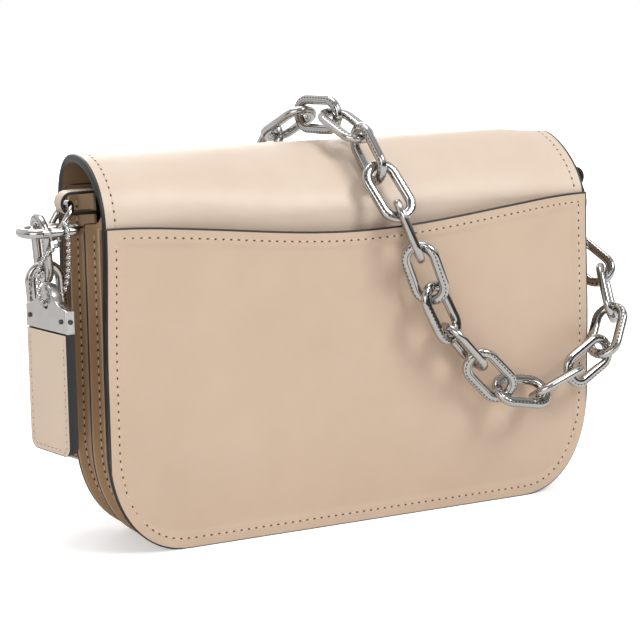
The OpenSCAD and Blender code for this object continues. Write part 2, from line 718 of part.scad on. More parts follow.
function run_lengths(line, i = 0, sum = 0) =
    i == len(line) ? [sum]
    : concat([sum], run_lengths(line, i + 1, sum + norm(line[(i + 1) % len(line)] - line[i])));
ball_runs = run_lengths(ball_line);
balls = round(ball_runs[len(ball_line)] / ball_space);
function at_length(l, i = 0) =
    i == len(ball_line) - 1 || ball_runs[i + 1] > l
    ? let (a = ball_line[i], b = ball_line[(i + 1) % len(ball_line)])
        a + (b - a) * (l - ball_runs[i]) / (ball_runs[i + 1] - ball_runs[i])
    : at_length(l, i + 1);
ball_at = [for (k = [0:balls - 1]) at_length(ball_runs[len(ball_line)] * k / balls)];

module ball_chain() {
    wire_d = ball_d * 0.35;
    color(steel) for (k = [0:balls - 1]) {
        a = ball_at[k];
        b = ball_at[(k + 1) % balls];
        v = unit(b - a);
        translate(a) sphere(d = ball_d, $fn = 16);
        translate(a) rotate([0, acos(v.z), atan2(v.y, v.x)]) cylinder(d = wire_d, h = norm(b - a), $fn = 8);
    }
}

back_panel();
back_pocket();
rear_gusset();
divider();
front_gusset();
front_panel();
flap_shell();
flap_lining();
magnet_upper();
magnet_lower();
zip_tape();
zip_teeth();
zip_slider();
zip_pull();
loop(1, loop_z);  // loop_left
loop(-1, loop_z - right_drop);  // loop_right
connector(connector_top, -connector_lean, 0);  // connector_left
connector(right_top, right_lean, right_twist);  // connector_right
color(steel) at_left() ring_frame();  // ring_left
color(steel) at_right() ring_frame();  // ring_right
color(steel) at_left() gate();  // gate_left
color(steel) at_right() gate();  // gate_right
color(steel) at_left() gate_pin();  // gate_pin_left
color(steel) at_right() gate_pin();  // gate_pin_right
tag_leather();
tag_cap();
tag_rivets();
ball_chain();
side_link(1);  // side_link_1
side_link(2);  // side_link_2
side_link(3);  // side_link_3
front_link(1);  // front_link_1
front_link(2);  // front_link_2
front_link(3);  // front_link_3
front_link(4);  // front_link_4
front_link(5);  // front_link_5
front_link(6);  // front_link_6
front_link(7);  // front_link_7
front_link(8);  // front_link_8
front_link(9);  // front_link_9
front_link(10);  // front_link_10
front_link(11);  // front_link_11
front_link(12);  // front_link_12
front_link(13);  // front_link_13
front_link(14);  // front_link_14
front_link(15);  // front_link_15
front_link(16);  // front_link_16
back_link(1);  // back_link_1
back_link(2);  // back_link_2
back_link(3);  // back_link_3
back_link(4);  // back_link_4
back_link(5);  // back_link_5
back_link(6);  // back_link_6
back_link(7);  // back_link_7
back_link(8);  // back_link_8
back_link(9);  // back_link_9
back_link(10);  // back_link_10
back_link(11);  // back_link_11
back_link(12);  // back_link_12
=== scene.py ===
import math

import bpy
import numpy as np
from mathutils import Matrix, Vector


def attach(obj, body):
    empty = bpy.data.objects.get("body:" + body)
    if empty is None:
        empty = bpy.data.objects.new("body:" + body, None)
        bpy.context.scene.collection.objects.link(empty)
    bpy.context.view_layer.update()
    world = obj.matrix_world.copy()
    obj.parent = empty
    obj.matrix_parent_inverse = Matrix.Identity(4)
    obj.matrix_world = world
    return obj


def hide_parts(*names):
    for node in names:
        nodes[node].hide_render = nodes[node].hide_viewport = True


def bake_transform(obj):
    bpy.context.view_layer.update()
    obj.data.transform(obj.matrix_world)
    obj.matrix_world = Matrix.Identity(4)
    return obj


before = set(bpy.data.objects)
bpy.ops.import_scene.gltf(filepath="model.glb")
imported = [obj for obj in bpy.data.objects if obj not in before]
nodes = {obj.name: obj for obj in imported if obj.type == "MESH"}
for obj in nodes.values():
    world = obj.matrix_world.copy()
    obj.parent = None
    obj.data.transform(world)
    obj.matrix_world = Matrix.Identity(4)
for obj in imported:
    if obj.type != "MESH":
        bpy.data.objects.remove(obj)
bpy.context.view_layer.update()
mm = 0.001
print("frame loaded")


# Objects and nodes

def newObject(name, data):
    obj = bpy.data.objects.new(name, data)
    bpy.context.collection.objects.link(obj)
    return obj


# Gives an input a value or another node's output
def feed(tree, socket, value):
    if isinstance(value, bpy.types.NodeSocket):
        tree.links.new(value, socket)
    else:
        socket.default_value = value


# A node with its settings, and its inputs in their order or by name
def add(tree, kind, settings=None, *inOrder, **byName):
    node = tree.nodes.new(kind)
    for key, value in (settings or {}).items():
        setattr(node, key, value)
    for socket, value in zip(node.inputs, inOrder):
        feed(tree, socket, value)
    for key, value in byName.items():
        feed(tree, node.inputs[key.replace("_", " ")], value)
    return node


# A math step, in the tree that its first linked value belongs to
def calc(operation, *values, clamp=False):
    tree = next(v.id_data for v in values if isinstance(v, bpy.types.NodeSocket))
    return add(tree, "ShaderNodeMath", {"operation": operation, "use_clamp": clamp}, *values).outputs[0]


def mixShaders(tree, share, first, second):
    return add(tree, "ShaderNodeMixShader", None, share, first, second).outputs[0]


def mixColors(tree, share, first, second):
    node = add(tree, "ShaderNodeMix", {"data_type": "RGBA"}, share)
    feed(tree, node.inputs[6], first)  # inputs 6 and 7 and output 2 are the node's colors
    feed(tree, node.inputs[7], second)
    return node.outputs[2]


def grey(value):
    return (value, value, value, 1)


# Camera, light and floor

cameraSet = {  # degrees and millimetres, the clip distances in metres
    "azimuth": 153.187, "elevation": 10.357, "roll": -0.822, "distance": 959.94,
    "target": (0, 0, 80), "offset": (10.032, -15.474), "lens": 110.25, "sensor": 36, "clip": (0.01, 30),
}


def makeCamera(c):
    az, el, roll = (math.radians(c[k]) for k in ("azimuth", "elevation", "roll"))
    back = Vector((math.sin(az) * math.cos(el), -math.cos(az) * math.cos(el), math.sin(el)))
    side = Vector((0, 0, 1)).cross(back).normalized()
    over = back.cross(side)
    right = side * math.cos(roll) + over * math.sin(roll)
    up = over * math.cos(roll) - side * math.sin(roll)
    data = bpy.data.cameras.new("photoCamera")
    data.lens, data.sensor_width = c["lens"], c["sensor"]
    data.clip_start, data.clip_end = c["clip"]
    camera = newObject("photoCamera", data)
    place = Vector(c["target"]) + back * c["distance"] - right * c["offset"][0] - up * c["offset"][1]
    camera.matrix_world = Matrix((
        (right.x, up.x, back.x, place.x * mm), (right.y, up.y, back.y, place.y * mm),
        (right.z, up.z, back.z, place.z * mm), (0, 0, 0, 1)))
    bpy.context.scene.camera = camera


lightSet = {  # metres and watts
    "lamps": [
        {"name": "keyLight", "place": (-0.75, 1.25, 1.5), "size": 0.7, "power": 18.5},
        {"name": "fillLight", "place": (1.5, 1.5, 0.8), "size": 1.4, "power": 11},
        {"name": "topLight", "place": (0.1, -0.3, 1.9), "size": 1.2, "power": 13},
        {"name": "frontLight", "place": (-0.6, -1.9, 0.9), "size": 1.3, "power": 12},
    ],
    "aim": (0, 0, 0.08),
}


def makeLights(s):
    for lamp in s["lamps"]:
        data = bpy.data.lights.new(lamp["name"], "AREA")
        data.size, data.energy = lamp["size"], lamp["power"]
        light = newObject(lamp["name"], data)
        light.location = lamp["place"]
        light.rotation_mode = "QUATERNION"
        aim = Vector(s["aim"]) - Vector(lamp["place"])
        light.rotation_quaternion = aim.to_track_quat("-Z", "Y")


# What polished metal mirrors: grey levels by height, 0 straight below and 1 straight above, and one level
# for all that lies on the front's side
worldSet = {
    "soft": 0.42, "below": 0.30, "above": 0.75, "front": 0.9, "frontFrom": -0.35, "backFrom": 0.15,
    "bands": [(0.44, 0.12), (0.52, 0.04), (0.60, 0.06), (0.66, 0.5), (0.72, 0.9), (0.80, 0.25), (0.9, 0.3)],
}


# The camera sees white, the light on matt surfaces is a soft grey, and reflections show the bands
def makeWorld(s):
    world = bpy.data.worlds.new("studio")
    bpy.context.scene.world = world
    world.use_nodes = True
    tree = world.node_tree
    tree.nodes.clear()
    path = add(tree, "ShaderNodeLightPath").outputs
    soft = add(tree, "ShaderNodeBackground", Color=grey(1), Strength=s["soft"])
    white = add(tree, "ShaderNodeBackground", Color=grey(1), Strength=1)
    seen = calc("MAXIMUM", path["Is Camera Ray"], path["Is Transmission Ray"])
    plain = mixShaders(tree, seen, soft.outputs[0], white.outputs[0])
    place = add(tree, "ShaderNodeTexCoord")
    split = add(tree, "ShaderNodeSeparateXYZ", None, place.outputs["Generated"]).outputs
    up = add(tree, "ShaderNodeMapRange", From_Min=-1, From_Max=1, Value=split["Z"])
    level = add(tree, "ShaderNodeValToRGB", None, up.outputs["Result"])
    ramp = level.color_ramp.elements
    ramp[0].color, ramp[1].color = grey(s["below"]), grey(s["above"])
    for at, value in s["bands"]:
        ramp.new(at).color = grey(value)
    side = add(tree, "ShaderNodeMapRange", From_Min=s["frontFrom"], From_Max=s["backFrom"], Value=split["Y"])
    room = mixColors(tree, side.outputs["Result"], grey(s["front"]), level.outputs[0])
    glossy = add(tree, "ShaderNodeBackground", Color=room)
    last = mixShaders(tree, path["Is Glossy Ray"], plain, glossy.outputs[0])
    add(tree, "ShaderNodeOutputWorld", None, last)


floorSet = {"half": 4, "paint": 0.86, "glowFrom": 0.12, "glowTo": 0.75, "nearGlow": 0.42, "farGlow": 1.1}


# A white floor whose glow grows outwards, so that no horizon shows
def makeFloor(s):
    r = s["half"]
    mesh = bpy.data.meshes.new("studioFloor")
    mesh.from_pydata([(-r, -r, 0), (r, -r, 0), (r, r, 0), (-r, r, 0)], [], [(0, 1, 2, 3)])
    floor = newObject("studioFloor", mesh)
    mat = bpy.data.materials.new("studioWhite")
    mat.use_nodes = True
    tree = mat.node_tree
    tree.nodes.clear()
    paint = add(tree, "ShaderNodeBsdfDiffuse", Color=grey(s["paint"])).outputs[0]
    place = add(tree, "ShaderNodeTexCoord").outputs["Object"]
    far = add(tree, "ShaderNodeVectorMath", {"operation": "LENGTH"}, place).outputs["Value"]
    fade = add(tree, "ShaderNodeMapRange", None, far, s["glowFrom"], s["glowTo"], s["nearGlow"], s["farGlow"])
    glow = add(tree, "ShaderNodeEmission", Strength=fade.outputs["Result"])
    both = add(tree, "ShaderNodeAddShader", None, paint, glow.outputs[0])
    seen = add(tree, "ShaderNodeLightPath").outputs["Is Camera Ray"]
    add(tree, "ShaderNodeOutputMaterial", None, mixShaders(tree, seen, paint, both.outputs[0]))
    mesh.materials.append(mat)


makeCamera(cameraSet)
makeLights(lightSet)
makeWorld(worldSet)
makeFloor(floorSet)
bpy.context.scene.view_settings.view_transform = "Standard"
print("camera, lamps and floor made")


# Materials

# A shader group with these inputs, and a color, a roughness and a height as its outputs
def newGroup(name, inputs):
    tree = bpy.data.node_groups.new(name, "ShaderNodeTree")
    for label, value in inputs.items():
        kind = "NodeSocketFloat" if isinstance(value, float) else "NodeSocketColor"
        tree.interface.new_socket(label, in_out="INPUT", socket_type=kind).default_value = value
    for label, kind in (("Color", "Color"), ("Roughness", "Float"), ("Height", "Float")):
        tree.interface.new_socket(label, in_out="OUTPUT", socket_type="NodeSocket" + kind)
    return tree, tree.nodes.new("NodeGroupInput").outputs


grainSet = {
    "broad": 9.0, "cloud": 70.0, "broadShare": 0.7, "contrast": 2.6, "level": 0.35, "roughChange": 0.22,
    "poreScale": 1.9, "poreHeight": 0.45, "cellSlope": 3.0, "cellHeight": 0.5,
}


# Leather: broad tone drift, soft cloudiness and a fine pebbled grain
def makeLeatherGrain(s):
    tree, given = newGroup("leatherGrain", {
        "Tone": (0.8, 0.7, 0.6, 1), "Deep tone": (0.7, 0.6, 0.5, 1), "Grain scale": 1700.0, "Drift": 0.5,
        "Roughness": 0.42})
    place = add(tree, "ShaderNodeTexCoord").outputs["Object"]

    def noise(scale, detail, roughness):
        return add(tree, "ShaderNodeTexNoise", Vector=place, Scale=scale, Detail=detail,
                   Roughness=roughness).outputs["Fac"]

    broad, cloud = noise(s["broad"], 3.0, 0.55), noise(s["cloud"], 4.0, 0.6)
    pore = noise(calc("MULTIPLY", given["Grain scale"], s["poreScale"]), 2.0, 0.5)
    pebble = add(tree, "ShaderNodeTexVoronoi", {"feature": "DISTANCE_TO_EDGE"}, Vector=place,
                 Scale=given["Grain scale"]).outputs["Distance"]
    both = calc("ADD", calc("MULTIPLY", broad, s["broadShare"]),
                calc("MULTIPLY", cloud, 1 - s["broadShare"]))
    drift = calc("MULTIPLY", calc("SUBTRACT", both, 0.5), s["contrast"])
    share = calc("ADD", calc("MULTIPLY", drift, given["Drift"]), s["level"], clamp=True)
    change = calc("MULTIPLY", calc("SUBTRACT", cloud, 0.5), s["roughChange"])
    rough = calc("ADD", given["Roughness"], change, clamp=True)
    cells = calc("MINIMUM", calc("MULTIPLY", pebble, s["cellSlope"]), s["cellHeight"])
    height = calc("ADD", cells, calc("MULTIPLY", pore, s["poreHeight"]))
    tone = mixColors(tree, share, given["Tone"], given["Deep tone"])
    add(tree, "NodeGroupOutput", None, tone, rough, height)
    return tree


wearSet = {"smear": 160.0, "scratch": 900.0, "level": 0.38, "contrast": 1.7, "roughChange": 0.12}


# Metal: a faint cast, wiped streaks and small scratches
def makeWear(s):
    tree, given = newGroup("polishedWear", {
        "Tone": (0.8, 0.8, 0.8, 1), "Dull tone": (0.5, 0.5, 0.5, 1), "Roughness": 0.14})
    place = add(tree, "ShaderNodeTexCoord").outputs["Object"]
    smear = add(tree, "ShaderNodeTexNoise", Vector=place, Scale=s["smear"], Detail=3.0, Roughness=0.6)
    scratch = add(tree, "ShaderNodeTexNoise", Vector=place, Scale=s["scratch"], Detail=2.0, Roughness=0.7,
                  Distortion=1.4)
    streak = smear.outputs["Fac"]
    share = calc("MULTIPLY", calc("SUBTRACT", streak, s["level"]), s["contrast"], clamp=True)
    change = calc("MULTIPLY", streak, s["roughChange"])
    rough = calc("ADD", given["Roughness"], change, clamp=True)
    tone = mixColors(tree, share, given["Tone"], given["Dull tone"])
    add(tree, "NodeGroupOutput", None, tone, rough, scratch.outputs["Fac"])
    return tree


leatherGrain = makeLeatherGrain(grainSet)
polishedWear = makeWear(wearSet)


def makeMaterial(name, group, bump, values, surface):
    mat = bpy.data.materials.new(name)
    mat.use_nodes = True
    tree = mat.node_tree
    made = add(tree, "ShaderNodeGroup", {"node_tree": group}, **values).outputs
    relief = add(tree, "ShaderNodeBump", Distance=bump, Strength=1.0, Height=made["Height"])
    inputs = {"Base Color": made["Color"], "Roughness": made["Roughness"], "Normal": relief.outputs[0]}
    inputs.update(surface)
    for label, value in inputs.items():
        feed(tree, tree.nodes["Principled BSDF"].inputs[label], value)
    return mat


def leather(name, tone, deep, roughness=0.42, grain=1700.0, bump=0.00006, drift=0.5, coat=0.12):
    values = {"Tone": (*tone, 1), "Deep tone": (*deep, 1), "Grain scale": grain, "Drift": drift,
              "Roughness": roughness}
    surface = {"Specular IOR Level": 0.42, "Coat Weight": coat, "Coat Roughness": 0.32}
    return makeMaterial(name, leatherGrain, bump, values, surface)


def metal(name, tone, dull, roughness=0.13, bump=0.000003):
    values = {"Tone": (*tone, 1), "Dull tone": (*dull, 1), "Roughness": roughness}
    return makeMaterial(name, polishedWear, bump, values, {"Metallic": 1.0})


polish = ((0.52, 0.505, 0.485), (0.42, 0.41, 0.395))
dashSet = {"straight": 7.0, "radius": 8.2, "pitch": 2.05, "share": 0.6, "width": 0.6, "face": 1.7,
           "groove": 6.1, "grooveWidth": 0.35, "recessShade": (0.10, 0.095, 0.09, 1), "depth": 12.0}


# Polished metal with a row of short engraved dashes and a groove on both faces of each link, placed from the
# link's own centre. Dashes and groove are sunk in the bump and painted dark as the shade in these recesses
def linkMetal(name, s):
    mat = metal(name, *polish, roughness=0.07)
    tree = mat.node_tree
    inputs = tree.nodes["Principled BSDF"].inputs
    straight, radius = s["straight"] * mm, s["radius"] * mm
    place = add(tree, "ShaderNodeAttribute", {"attribute_name": "linkPlace"})
    split = add(tree, "ShaderNodeSeparateXYZ", None, place.outputs["Vector"])
    x, y, z = (calc("ABSOLUTE", split.outputs[i]) for i in range(3))
    past = calc("MAXIMUM", calc("SUBTRACT", y, straight), 0.0)
    off = calc("SQRT", calc("ADD", calc("MULTIPLY", x, x), calc("MULTIPLY", past, past)))
    turn = calc("MULTIPLY", calc("ARCTAN2", past, x), radius)
    along = calc("ADD", calc("MINIMUM", y, straight), turn)
    phase = calc("FRACT", calc("DIVIDE", along, s["pitch"] * mm))

    def within(value, middle, reach):
        return calc("LESS_THAN", calc("ABSOLUTE", calc("SUBTRACT", value, middle)), reach)

    inDash = within(phase, 0.5, s["share"] / 2)
    inRow = within(off, radius, s["width"] / 2 * mm)
    inGroove = within(off, s["groove"] * mm, s["grooveWidth"] / 2 * mm)
    marked = calc("MAXIMUM", calc("MULTIPLY", inDash, inRow), inGroove)
    mask = calc("MULTIPLY", marked, calc("GREATER_THAN", z, s["face"] * mm))
    tone = inputs["Base Color"]
    # Painted shade: the dashes and the groove are darkened as their recesses
    feed(tree, tone, mixColors(tree, mask, tone.links[0].from_socket, s["recessShade"]))
    height = inputs["Normal"].links[0].from_node.inputs["Height"]
    sunk = calc("MULTIPLY", mask, s["depth"])
    feed(tree, height, calc("SUBTRACT", height.links[0].from_socket, sunk))
    return mat


backLeather = leather("backLeather", (0.645, 0.485, 0.362), (0.565, 0.415, 0.30), drift=0.7)
flapLeather = leather("flapLeather", (0.695, 0.565, 0.455), (0.615, 0.47, 0.355), roughness=0.36, drift=0.75,
                      coat=0.2)
# Gussets and divider: the bag's leather darkened and browned as painted shade, for parts that sit deep between
# the panels
shadedGussetLeather = leather("shadedGussetLeather", (0.50, 0.34, 0.205), (0.42, 0.275, 0.16), roughness=0.5)
liningLeather = leather("liningLeather", (0.27, 0.17, 0.095), (0.22, 0.13, 0.07), roughness=0.6, grain=2600.0)
tagLeather = leather("tagLeather", (0.78, 0.615, 0.475), (0.70, 0.53, 0.40), roughness=0.42)
edgePaint = leather("edgePaint", (0.009, 0.009, 0.0095), (0.016, 0.015, 0.015), roughness=0.5, grain=900.0,
                    bump=0.00008, coat=0.25)
threadTan = leather("threadTan", (0.80, 0.66, 0.50), (0.66, 0.51, 0.37), roughness=0.6, grain=5000.0)
threadCream = leather("threadCream", (0.80, 0.68, 0.53), (0.70, 0.57, 0.42), roughness=0.6, grain=5000.0)
# Stitch holes: flat dark patches of painted shade where the thread goes into the leather
stitchHoleShade = leather("stitchHoleShade", (0.075, 0.042, 0.026), (0.05, 0.03, 0.02), roughness=0.8, grain=3000.0)
tapeCloth = leather("tapeCloth", (0.34, 0.23, 0.15), (0.28, 0.18, 0.115), roughness=0.85, grain=1400.0,
                    bump=0.0002)
silver = metal("silver", *polish, roughness=0.08)
chainSilver = linkMetal("chainSilver", dashSet)
silverDull = metal("silverDull", (0.60, 0.58, 0.555), (0.50, 0.485, 0.46), roughness=0.24)
capSteel = metal("capSteel", (0.56, 0.54, 0.52), (0.50, 0.485, 0.465), roughness=0.17)
# The tag's rivets, near black as painted shade for their holes
rivetHoleShade = metal("rivetHoleShade", (0.10, 0.095, 0.09), (0.06, 0.06, 0.06), roughness=0.3)
print("materials made")


# The bag's own lines, as in the part's source, in millimetres

bagSet = {
    "width": 260, "backHeight": 152, "cornerWidth": 39, "cornerHeight": 52, "cornerPower": 2.2,
    "rearDepth": 17.7, "frontDepth": 20.1, "panel": 1.8, "gusset": 1.2, "seam": 6,
    "frontTop": 166, "frontPanelTop": 168, "dividerTop": 152,
    "crestRise": 31, "crestY": 15, "flapReach": 38.5, "flapDrop": 92, "flapTuck": 8, "flapCorner": 44,
    "flapThick": 3.8, "backPower": 1.5, "frontPower": 2.6, "hingeRise": 13,
    "pocketThick": 1.6, "pocketSwell": 4.7, "pocketDip": 9, "pocketRim": 5, "pocketRamp": 0.3,
    "waist": 1.6, "waistFrom": 84, "waistOver": 66,
}
half = bagSet["width"] / 2
dividerY = bagSet["panel"] / 2
backInY = dividerY + bagSet["rearDepth"]
backY = backInY + bagSet["panel"]
frontInY = -dividerY - bagSet["frontDepth"]
frontY = frontInY - bagSet["panel"]
hingeTurn = math.asin((bagSet["hingeRise"] / bagSet["crestRise"]) ** (bagSet["backPower"] / 2))


def ease(t):
    u = np.clip(t, 0, 1)
    return u * u * (3 - 2 * u)


# Height of the bag's lower edge at x
def cornerZ(x):
    a, b, p = bagSet["cornerWidth"], bagSet["cornerHeight"], bagSet["cornerPower"]
    u = np.clip((np.abs(x) - half + a) / a, 0, 1)
    return b * (1 - (1 - u ** p) ** (1 / p))


# Outline of a panel from the top at +X, round the bottom, to the top at -X; equal rows match at any inset
def outline(inset, top, nSide=26, nCorner=16, nBottom=28):
    h, a, b = half - inset, bagSet["cornerWidth"] - inset, bagSet["cornerHeight"] - inset
    p = bagSet["cornerPower"]
    side = [(h, top + (inset + b - top) * ease(i / nSide)) for i in range(nSide)]
    turn = [math.radians(90 * i / nCorner) for i in range(nCorner)]
    corner = [(h - a + a * abs(math.cos(t)) ** (2 / p), inset + b - b * abs(math.sin(t)) ** (2 / p))
              for t in turn]
    right = side + corner
    bottom = [((h - a) * math.cos(math.pi * i / nBottom), inset) for i in range(nBottom + 1)]
    left = [(-x, z) for x, z in reversed(right)]
    return np.array(right + bottom + left)


# How much narrower the worn bag is towards its top
def narrow(z):
    return bagSet["waist"] * ease((np.asarray(z, float) - bagSet["waistFrom"]) / bagSet["waistOver"])


# The flap's line over the crest, from the back (0) to the front (pi)
def oval(t, power):
    t = np.asarray(t, float)
    rear = t < math.pi / 2
    w = np.where(rear, backY + bagSet["crestY"], bagSet["flapReach"] - bagSet["crestY"])
    n = np.where(rear, power, bagSet["frontPower"])
    y = -bagSet["crestY"] + np.sign(np.cos(t)) * w * np.abs(np.cos(t)) ** (2 / n)
    z = bagSet["backHeight"] + bagSet["crestRise"] * np.abs(np.sin(t)) ** (2 / n)
    return np.stack([y, z], -1)


# The flap's line down the front, from the crest's end (0) to the edge (1)
def drop(s):
    s = np.asarray(s, float)
    y = -bagSet["flapReach"] + bagSet["flapTuck"] * s * s
    return np.stack([y, bagSet["backHeight"] - bagSet["flapDrop"] * s], -1)


# Slow waves of worn leather, from -1 to 1: long ones of 145 to 195 mm and short ones of 82 to 107 mm
def waves(x, z, seed):
    long = np.sin(x / 31 + seed) * np.cos(z / 23 + 2 * seed)
    return (long + 0.5 * np.sin(x / 13 - z / 17 + 3 * seed)) / 1.5


# Steps from 0 to 1 that are closer together towards both ends
def bothWays(n):
    return (1 - np.cos(np.pi * np.linspace(0, 1, n))) / 2


# Sheets of leather

def sheetNormals(grid):
    du = np.gradient(grid, axis=1)
    dv = np.gradient(grid, axis=0)
    n = np.cross(du, dv)
    size = np.linalg.norm(n, axis=2, keepdims=True)
    size[size < 1e-9] = 1
    return n / size


# An outer and an inner face and a rounded rim, in the three materials given. The lip is how many rows at the
# start, rows at the end and columns at each side of the outer face have the rim's material
def makeSheet(name, grid, thick, mats, flip=False, rimSteps=4, belly=0.32, lip=(0, 0, 0)):
    grid = np.asarray(grid, float)
    rows, cols = grid.shape[:2]
    thick = np.broadcast_to(np.asarray(thick, float), (rows, cols))
    if flip:
        grid, thick = grid[:, ::-1], thick[:, ::-1]
    normal = sheetNormals(grid)
    outer, inner = grid, grid - normal * thick[..., None]
    ring = ([(0, j) for j in range(cols)] + [(i, cols - 1) for i in range(1, rows)]
            + [(rows - 1, j) for j in range(cols - 2, -1, -1)] + [(i, 0) for i in range(rows - 2, 0, -1)])
    verts = [outer.reshape(-1, 3), inner.reshape(-1, 3)]
    inward = []
    for i, j in ring:
        d = grid[i, j] - grid[min(max(i, 1), rows - 2), min(max(j, 1), cols - 2)]
        d = d - normal[i, j] * (d @ normal[i, j])
        inward.append(d / max(np.linalg.norm(d), 1e-9))
    a = np.array([outer[i, j] for i, j in ring])
    b = np.array([inner[i, j] for i, j in ring])
    t = np.array([thick[i, j] for i, j in ring])[:, None]
    inward = np.array(inward)
    for s in range(1, rimSteps):
        f = (1 - math.cos(math.pi * (s / rimSteps))) / 2
        verts.append(a + (b - a) * f + inward * t * belly * math.sin(math.pi * f))
    verts = np.concatenate(verts) * mm
    verts[:, 2] = np.maximum(verts[:, 2], 0)  # the painted rims stand on the floor
    count = rows * cols
    faces, kinds = [], []
    for i in range(rows - 1):
        for j in range(cols - 1):
            p = i * cols + j
            faces.append((p, p + 1, p + cols + 1, p + cols))
            onLip = i < lip[0] or i >= rows - 1 - lip[1] or j < lip[2] or j >= cols - 1 - lip[2]
            kinds.append(2 if onLip else 0)
            q = p + count
            faces.append((q, q + cols, q + cols + 1, q + 1))
            kinds.append(1)
    around = len(ring)

    def rimVert(s, k):
        i, j = ring[k % around]
        if s == 0:
            return i * cols + j
        if s == rimSteps:
            return count + i * cols + j
        return 2 * count + (s - 1) * around + k % around

    for s in range(rimSteps):
        for k in range(around):
            corners = ((s, k), (s + 1, k), (s + 1, k + 1), (s, k + 1))
            faces.append(tuple(rimVert(*corner) for corner in corners))
            kinds.append(2)
    mesh = bpy.data.meshes.new(name)
    mesh.from_pydata(verts.tolist(), [], faces)
    for m in mats:
        mesh.materials.append(m)
    mesh.polygons.foreach_set("material_index", kinds)
    finishMesh(mesh)
    return newObject(name, mesh)


# Smooth faces, with a crease where two finishes meet or the faces turn by more than creaseAngle degrees
def finishMesh(mesh, creaseAngle=None):
    mesh.polygons.foreach_set("use_smooth", [True] * len(mesh.polygons))
    kinds = [p.material_index for p in mesh.polygons]
    faceOf = {}
    for p in mesh.polygons:
        for key in p.edge_keys:
            faceOf.setdefault(key, []).append(p.index)
    sharp = []
    for edge in mesh.edges:
        pair = faceOf.get(edge.key, [])
        hard = len(pair) == 2 and kinds[pair[0]] != kinds[pair[1]]
        if not hard and creaseAngle and len(pair) == 2:
            one, two = (mesh.polygons[i].normal for i in pair)
            hard = one.angle(two, 0) > math.radians(creaseAngle)
        sharp.append(hard)
    mesh.edges.foreach_set("use_edge_sharp", sharp)
    mesh.update()


# Back panel and flap in one skin, from the lower edge at the back over the crest to the front edge

skinSet = {
    "cols": 97, "backRows": 30, "overRows": 44, "frontRows": 34, "frontCrowd": 1.6,
    "sag": 0.3, "sagWaves": 5.6, "droop": 2.2, "droopFrom": 96, "droopOver": 32,
    "fuller": 0.5, "fullerFrom": 25, "fullerOver": 85, "thickenFrom": 0.7, "thickenOver": 0.25,
    "frontRipple": 0.25,
}


# The straight stretches of the skin's cross-section, up the back and down the front
def skinLine(s):
    share = bothWays(s["backRows"] * 2 - 1)[: s["backRows"]] * 2
    back = [(backY, z) for z in share * bagSet["backHeight"]][:-1]
    front = [tuple(drop(v)) for v in (1 - (1 - np.linspace(0, 1, s["frontRows"])) ** s["frontCrowd"])[1:]]
    return np.array(back), np.array(front)


# Half the flap's width at the height z, with its rounded lower corners
def flapHalf(z):
    low = bagSet["backHeight"] - bagSet["flapDrop"]
    r = bagSet["flapCorner"]
    h = np.clip(low + r - z, 0, r)
    return half - r + np.sqrt(np.clip(r * r - h * h, 0, None))


def makeSkin(s):
    back, front = skinLine(s)
    share = 2 * bothWays(s["cols"]) - 1
    grid, thick = [], []
    lowX = half - bagSet["cornerWidth"]
    for y, z in back:
        wide = half - float(narrow(z))
        if z < bagSet["cornerHeight"]:
            a, b, p = bagSet["cornerWidth"], bagSet["cornerHeight"], bagSet["cornerPower"]
            wide = lowX + a * (1 - ((b - z) / b) ** p) ** (1 / p)
        grid.append([(wide * v, y, z) for v in share])
        thick.append([bagSet["panel"]] * len(share))
    wide = half - float(narrow(bagSet["backHeight"]))
    for k in range(s["overRows"]):
        t = math.pi * k / (s["overRows"] - 1)
        row = []
        for v in share:
            x = wide * v
            fuller = s["fuller"] * float(ease((x - s["fullerFrom"]) / s["fullerOver"]))
            y, z = oval(t, bagSet["backPower"] + fuller)
            soft = s["sag"] * (0.5 + 0.5 * math.cos(s["sagWaves"] * v))
            soft += s["droop"] * float(ease((-x - s["droopFrom"]) / s["droopOver"]))
            row.append((x, float(y), float(z) - soft * math.sin(t) ** 2))
        grid.append(row)
        grow = float(ease((t - hingeTurn * s["thickenFrom"]) / s["thickenOver"]))
        thick.append([bagSet["panel"] + (bagSet["flapThick"] - bagSet["panel"]) * grow] * len(share))
    for y, z in front:
        wide = float(flapHalf(z)) - float(narrow(z))
        grid.append([(wide * v, y + frontWave(wide * v, z), z) for v in share])
        thick.append([bagSet["flapThick"]] * len(share))
    grid = np.array(grid)
    mats = [flapLeather, liningLeather, edgePaint]
    return makeSheet("backAndFlapSkin", grid, thick, mats, flip=True, lip=(0, 2, 4)), grid


def frontWave(x, z):
    return skinSet["frontRipple"] * waves(x, z, 1.0)


skin, skinGrid = makeSkin(skinSet)
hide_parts("back_panel", "flap_shell", "flap_lining")
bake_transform(skin)
print("back and flap skin made")


# Back pocket

pocketSet = {"cols": 121, "rows": 91, "ripple": 0.22, "hem": 0.75, "hemWidth": 6.4, "hemStep": 2.0}


def pocketTop(x):
    return bagSet["backHeight"] - bagSet["pocketDip"] * (1 + np.cos(2 * np.pi * x / bagSet["width"])) / 2


def pocketGap(x, z):
    ramp = bagSet["pocketRamp"] * bagSet["backHeight"]
    rim = bagSet["pocketRim"]
    return bagSet["pocketSwell"] * ease((half - rim - np.abs(x)) / ramp) * ease((z - cornerZ(x) - rim) / ramp)


# Outer face of the pocket: swell, slow ripple and the raised hem along all edges
def pocketFace(x, z, s=pocketSet):
    gap = pocketGap(x, z)
    edge = np.minimum(np.minimum(half - np.abs(x), z - cornerZ(x)), pocketTop(x) - z)
    hem = s["hem"] * (1 - ease((edge - s["hemWidth"]) / s["hemStep"]))
    ripple = s["ripple"] * waves(x, z, 0.4) * gap / bagSet["pocketSwell"]
    return backY + gap + bagSet["pocketThick"] + ripple + hem


